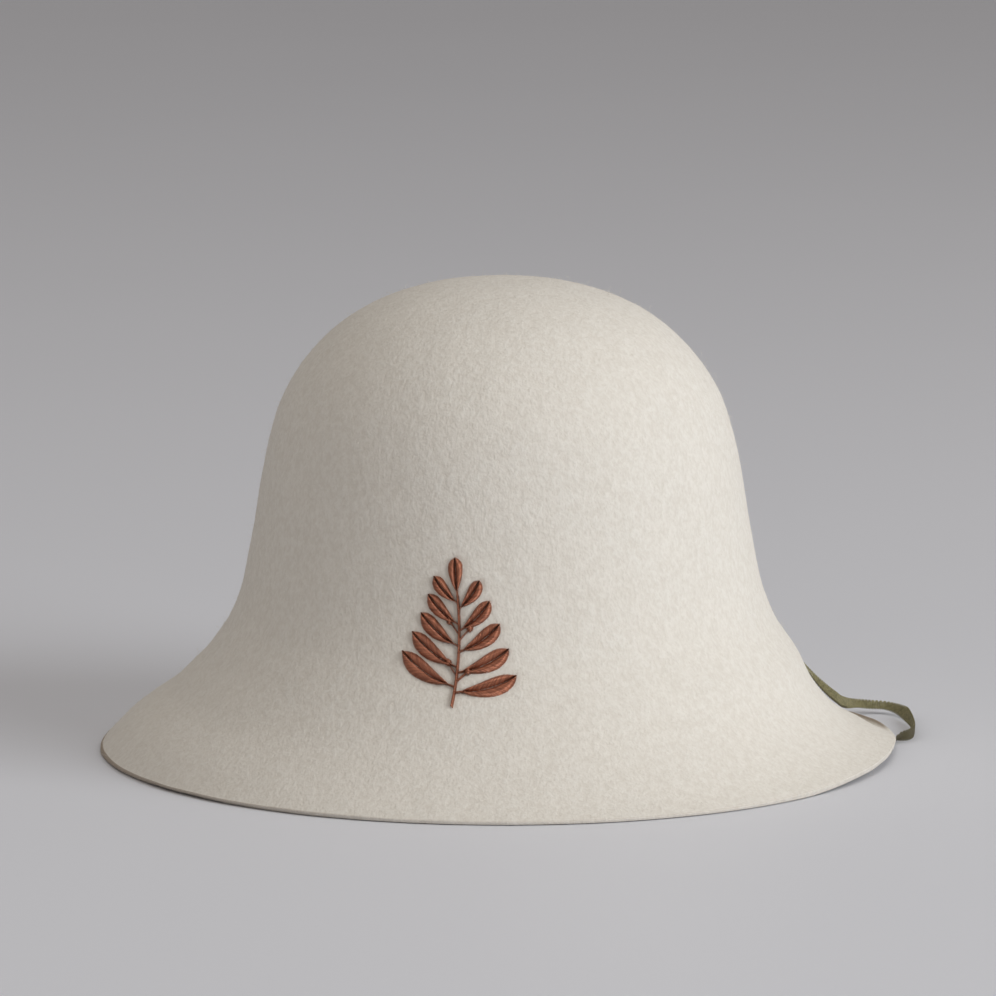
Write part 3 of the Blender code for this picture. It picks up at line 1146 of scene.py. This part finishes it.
def felt_finish():
    """Fulled wool: small crisp lumps, a finer nap, a faint uneven tint and painted shade in its
    pits;
    darker at its cut, with its own colour and with painted shade.
    """
    wool = Finish("fulled_wool", 0.93, Specular_IOR_Level=0.18, Sheen_Weight=0.05,
                  Sheen_Roughness=0.6)
    where = wool.where()
    drawn = wool.add("ShaderNodeMapping", {}, {"Vector": where, "Scale": (1.0, 1.0, 0.75)})
    cloud = wool.noise(where, scale=46.0)
    patch = wool.noise(drawn, scale=300.0, detail=1.0)
    lump = wool.noise(drawn, scale=620.0, detail=1.0)
    nap = wool.noise(drawn, scale=1150.0, detail=1.0)
    # The lumps' height; its low places are also painted darker, as shade in the pits.
    height_and_pit_shade = patch * 0.30 + lump * 0.42 + nap * 0.28
    clean = wool.between(cloud, WOOL_COOL, WOOL_WARM)
    mottled_and_pit_shaded = wool.between(wool.spread(height_and_pit_shade, 0.39, 0.61), WOOL_MOTTLE_AND_PIT_SHADE, clean)
    # The cut's own colour, with painted shade at the left cut, the lower corner and the lip.
    cut = wool.attribute("cut_colour_and_shade")
    wool.set("Base Color", wool.between(cut * CUT_AND_SHADE_STRENGTH, mottled_and_pit_shaded, WOOL_CUT_AND_SHADE))
    wool.bump(height_and_pit_shade, 0.52 * MM)
    return wool.material


def hair_finish():
    """Single wool fibres, a little lighter than the felt that they stand on."""
    hair = Finish("loose_fibre", 0.8, Specular_IOR_Level=0.25, Sheen_Weight=0.1)
    share = hair.noise(hair.where(), scale=300.0)
    hair.set("Base Color", hair.between(share, WOOL_WARM, WOOL_HAIR))
    return hair.material


def thread_finish(name, light, deep, roughness):
    """Sewing thread: each stitch a little lighter or darker than the next."""
    thread = Finish(name, roughness, Specular_IOR_Level=0.8, Metallic=0.6)
    tone = thread.attribute("tone")
    fine = thread.noise(thread.where(), scale=2600.0, detail=1.0)
    thread.set("Base Color", thread.between(tone * 0.6 + fine * 0.4, deep, light))
    thread.bump(fine, 0.05 * MM, 0.6)
    return thread.material


def tape_finish():
    """Spun yarn of the tape, with its fibres and uneven dye, and painted shade where the mesh
    says.
    """
    yarn = Finish("olive_yarn", 0.82, Specular_IOR_Level=0.25, Sheen_Weight=0.25,
                  Sheen_Roughness=0.5)
    where = yarn.where()
    cloud = yarn.noise(where, scale=700.0)
    fine = yarn.noise(where, scale=2400.0, detail=3.0, roughness=0.65)
    dyed = yarn.between(yarn.spread(cloud * 0.5 + fine * 0.5, 0.34, 0.66), OLIVE_DEEP, OLIVE)
    # Painted shade on the outer face, and on the lower selvedge along the flare.
    outer = yarn.attribute("tape_painted_shade")
    yarn.set("Base Color", yarn.between(outer * TAPE_SHADE_STRENGTH, dyed, OLIVE_PAINTED_SHADE))
    yarn.bump(fine, 0.12 * MM, 0.8)
    return yarn.material


def floor_finish():
    """A smooth white table top."""
    top = Finish("pale_floor", 0.55, Specular_IOR_Level=0.25)
    share = top.noise(top.where(), scale=3.0)
    top.set("Base Color", top.between(share, FLOOR_DEEP, FLOOR_LIGHT))
    return top.material


def ride_and_slot(piece):
    """Every piece moves with the one body."""
    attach(piece, "root")


def make_camera():
    """The camera at the photograph's angle: a long lens, from a little above."""
    lens = bpy.data.cameras.new("camera")
    lens.lens = CAMERA_LENS
    lens.sensor_width = SENSOR_WIDTH
    lens.clip_end = CAMERA_REACH
    camera = bpy.data.objects.new("camera", lens)
    camera.location = CAMERA_PLACE
    camera.rotation_euler = (math.radians(CAMERA_PITCH), 0.0, 0.0)
    bpy.context.scene.collection.objects.link(camera)
    bpy.context.scene.camera = camera


def tape_shade_mask(flat):
    """Where the flat tape gets painted shade: on its outer face, and along the flare on its
    lower edge.
    """
    along = ease((flat[:, 0] - SHADED_FROM) / SHADED_FADE)
    along = along * ease((SHADED_TO - flat[:, 0]) / SHADED_FADE)
    return np.maximum(flat[:, 2] < 0, along * (flat[:, 1] < -SHADED_SELVEDGE))


def make_tape():
    """The hanging loop, woven flat and then bent along its route."""
    route = loop_route()
    source = shown("source", bpy.data.meshes.new("source"))
    tape = tape_growth().grow("tape_loop", source, {
        "Length": float(route.length), "Width": TAPE_WIDTH, "Pick step": PICK_STEP,
        "Warp yarns": WARP_YARNS, "Yarn thickness": YARN_THICKNESS,
        "Material": tape_finish()})
    discard(source)
    flat = corners(tape.data)
    note(tape.data, "tape_painted_shade", tape_shade_mask(flat))
    put(tape.data, along_route(flat, route))
    tape.data.shade_smooth()
    ride_and_slot(tape)
    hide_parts("hanging_loop")
    points = route.at(np.linspace(0.0, 1.0, CORD_POINTS))[:, :3]


def make_tacks(stitches):
    """The bar tacks that hold the tape's two ends, outside and inside the felt."""
    finish = thread_finish("olive_thread", OLIVE, OLIVE_DEEP, 0.55)
    rows = np.arange(-TACK_HALF, TACK_HALF + TACK_ROW / 2, TACK_ROW)
    middles = np.stack([rows, rows * 0.0], axis=-1)
    across = np.broadcast_to((TACK_ACROSS, TACK_ALONG), middles.shape)
    for name, lift in (("outer_tack", TAPE_GAP + TAPE_THICKNESS), ("inner_tack", 0.0)):
        source = guide([(middles, across)])
        tack = stitches.grow(name, source, {
            "Step": TACK_ROW * MM, "Thickness": TACK_THICKNESS, "Arch": TACK_ARCH,
            "Sink": TACK_SINK, "Seed": 5, "Material": finish})
        discard(source)
        places = corners(tack.data)
        if name == "inner_tack":
            places[:, 2] = -places[:, 2] - FELT_THICKNESS - TAPE_GAP - TAPE_THICKNESS
            tack.data.flip_normals()
        put(tack.data, laid_on_felt(places, TACK_AZIMUTH, TACK_SHARE, lift))
        tack.data.shade_smooth()
        ride_and_slot(tack)


def make_felt():
    """The felt body."""
    mesh = felt_shell()
    mesh.materials.append(felt_finish())
    felt = shown("felt", mesh)
    ride_and_slot(felt)
    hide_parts("felt_body")
    return felt


class Strewn(NamedTuple):
    """One strewing of loose fibres: the stretch of the felt as shares, fibres for each square
    centimetre, the least and greatest length in mm, and the rest as shares of a length."""
    name: str
    start: float
    end: float
    density: float
    shortest: float
    longest: float
    thickness: float
    lean: float
    rise: float


STREWN = (
    Strewn("crown_wool", 0.0, 0.5, 15.0, 0.5, 2.0, 0.032, 0.9, 0.34),
    Strewn("brim_wool", 0.5, 0.985, 9.0, 0.5, 1.8, 0.032, 0.9, 0.30),
    Strewn("edge_wool", 0.985, 1.5, 60.0, 0.4, 1.4, 0.035, 0.7, 0.5),
    Strewn("stray_wool", 0.0, 1.5, 1.1, 2.0, 4.5, 0.016, 0.8, 0.75),
)


def make_loose_wool(felt):
    """The fibres that stand off the felt."""
    growth = wool_growth()
    finish = hair_finish()
    for seed, strewn in enumerate(STREWN):
        wool = growth.grow(strewn.name, felt, {
            "Fibres per square metre": strewn.density * 1e4, "From": strewn.start,
            "To": strewn.end, "Shortest": strewn.shortest * MM,
            "Longest": strewn.longest * MM, "Thickness": strewn.thickness,
            "Lean": strewn.lean, "Rise": strewn.rise, "Seed": 11 + seed * 10,
            "Material": finish})
        places = corners(wool.data)
        places[:, 2] = np.maximum(places[:, 2], FIBRE_CLEAR)
        put(wool.data, places)
        ride_and_slot(wool)


def make_sprig(stitches):
    """The embroidered leaf sprig."""
    source = guide(sprig_lines())
    sprig = stitches.grow("leaf_sprig", source, {
        "Step": THREAD_STEP, "Thickness": THREAD_THICKNESS, "Arch": SATIN_ARCH,
        "Sink": SATIN_SINK + STITCH_DENT, "Seed": 3,
        "Material": thread_finish("copper_thread", COPPER, COPPER_DEEP, 0.28)})
    discard(source)
    places = corners(sprig.data)
    places[:, 0] -= DESIGN_LEFT * MM
    put(sprig.data, laid_on_felt(places, DESIGN_AZIMUTH, DESIGN_SHARE))
    sprig.data.shade_smooth()
    ride_and_slot(sprig)


def make_floor():
    """A plain pale floor."""
    mesh = bpy.data.meshes.new("floor")
    side = FLOOR_HALF
    mesh.from_pydata([(-side, -side, 0), (side, -side, 0), (side, side, 0), (-side, side, 0)],
                     [], [(0, 1, 2, 3)])
    mesh.materials.append(floor_finish())
    shown("floor", mesh)


class Lamp(NamedTuple):
    """A square soft light aimed at the hat: where it stands, in degrees round from the front
    towards the right and above the floor, its distance and side in metres, watts, colour."""
    name: str
    turn: float
    height: float
    distance: float
    side: float
    watts: float
    color: tuple


LAMPS = (
    Lamp("window", 60.0, 22.0, 3.6, 2.4, 86.0, (0.985, 1.0, 1.0)),
    Lamp("ceiling", 0.0, 84.0, 3.0, 2.4, 16.0, (1.0, 0.96, 0.90)),
    Lamp("left_wall", -40.0, 12.0, 3.6, 1.2, 7.0, (1.0, 0.95, 0.84)),
)


def make_room():
    """The light of a dim room whose far side is pale."""
    world = bpy.data.worlds.new("room")
    world.use_nodes = True
    nodes = Nodes(world.node_tree)
    way = nodes.parts(nodes.add("ShaderNodeTexCoord"))[1]
    color = nodes.between(way * 0.5 + 0.5, ROOM_NEAR, ROOM_FAR)
    nodes.give(world.node_tree.nodes["Background"].inputs["Color"], color)
    bpy.context.scene.world = world


def make_light():
    """Soft low daylight from the right and front, and a little from above and from the left."""
    for lamp in LAMPS:
        light = bpy.data.lights.new(lamp.name, "AREA")
        light.size = lamp.side
        light.energy = lamp.watts
        light.color = lamp.color
        made = bpy.data.objects.new(lamp.name, light)
        turn, up = math.radians(lamp.turn), math.radians(lamp.height)
        way = Vector((math.sin(turn) * math.cos(up), -math.cos(turn) * math.cos(up),
                      math.sin(up)))
        made.location = way * lamp.distance
        made.rotation_euler = way.to_track_quat("Z", "Y").to_euler()
        bpy.context.scene.collection.objects.link(made)


def main():
    """Make the hat and what it is seen in."""
    bpy.context.scene.view_settings.view_transform = "Standard"
    make_camera()
    make_tape()
    felt = make_felt()
    stitches = stitch_growth()
    make_tacks(stitches)
    make_sprig(stitches)
    make_loose_wool(felt)
    make_floor()
    make_room()
    make_light()


main()
